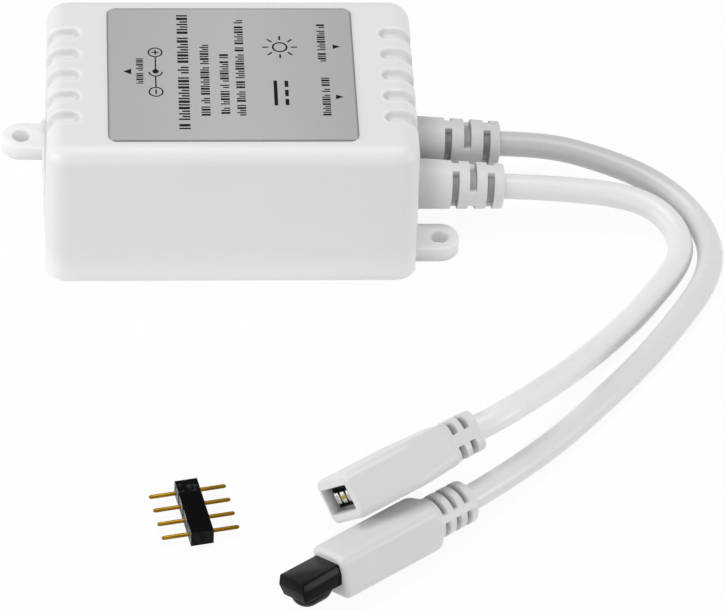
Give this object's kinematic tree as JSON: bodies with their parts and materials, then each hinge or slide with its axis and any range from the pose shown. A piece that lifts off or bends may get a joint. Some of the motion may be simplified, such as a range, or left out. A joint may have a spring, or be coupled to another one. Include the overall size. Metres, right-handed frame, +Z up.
{
  "type": "led strip controller",
  "caption": "Small fluted plastic control box on an eared base plate, with a power socket in one end and two cables to a strip socket and an infrared receiver, plus a loose pin header.",
  "frame": {"origin": "middle of the underside of the base plate, which is the surface the controller stands on", "axes": "+Z up out of the label, +X along the case towards the end where the cables leave, +Y towards the rear long side, away from the viewer"},
  "size_m": [0.0986, 0.1006, 0.0224],
  "materials": {
    "white_plastic": "satin",
    "soft_white": "satin",
    "cable_white": "satin",
    "label_grey": "matte",
    "black_plastic": "matte",
    "dark_lens": "gloss",
    "board_green": "satin",
    "tinned_metal": "satin",
    "gold_plate": "polished",
    "solder": "bright",
    "can_sleeve": "gloss",
    "chip_black": "matte",
    "ceramic_tan": "matte",
    "wire_white": "satin",
    "wire_red": "satin"
  },
  "bodies": {
    "base": {"base_plate": "white_plastic", "circuit_board": "board_green", "jack_housing": "black_plastic", "jack_center_pin": "tinned_metal", "jack_spring_contact": "tinned_metal", "jack_shunt_contact": "tinned_metal", "filter_capacitor": "can_sleeve", "capacitor_leads": "tinned_metal", "voltage_regulator": "chip_black", "protection_diode": "chip_black", "microcontroller": "chip_black", "microcontroller_leads": "tinned_metal", "memory_chip": "chip_black", "memory_chip_leads": "tinned_metal", "mosfets": "chip_black", "mosfet_tabs": "tinned_metal", "chip_resistors": "chip_black", "chip_capacitors": "ceramic_tan", "solder_joints": "solder", "strip_wires": "wire_white", "ir_wires": "wire_red", "strip_strain_relief": "soft_white", "ir_strain_relief": "soft_white", "strip_cable": "cable_white", "ir_cable": "cable_white", "strip_socket_housing": "white_plastic", "strip_socket_insert": "black_plastic", "strip_socket_contacts": "gold_plate", "ir_plug_housing": "white_plastic", "ir_receiver": "dark_lens", "ir_receiver_leads": "tinned_metal"},
    "cover": {"case_shell": "white_plastic", "label_plate": "label_grey"},
    "header": {"pin_header_body": "black_plastic", "pin_header_pins": "gold_plate"}
  },
  "joints": [
    {"name": "case_lift", "type": "slide", "parent": "base", "child": "cover", "axis": [0, 0, 1], "range_m": [0, 0.03]},
    {"name": "header_lift", "type": "slide", "parent": "base", "child": "header", "axis": [0, 0, 1], "range_m": [0, 0.03]}
  ]
}
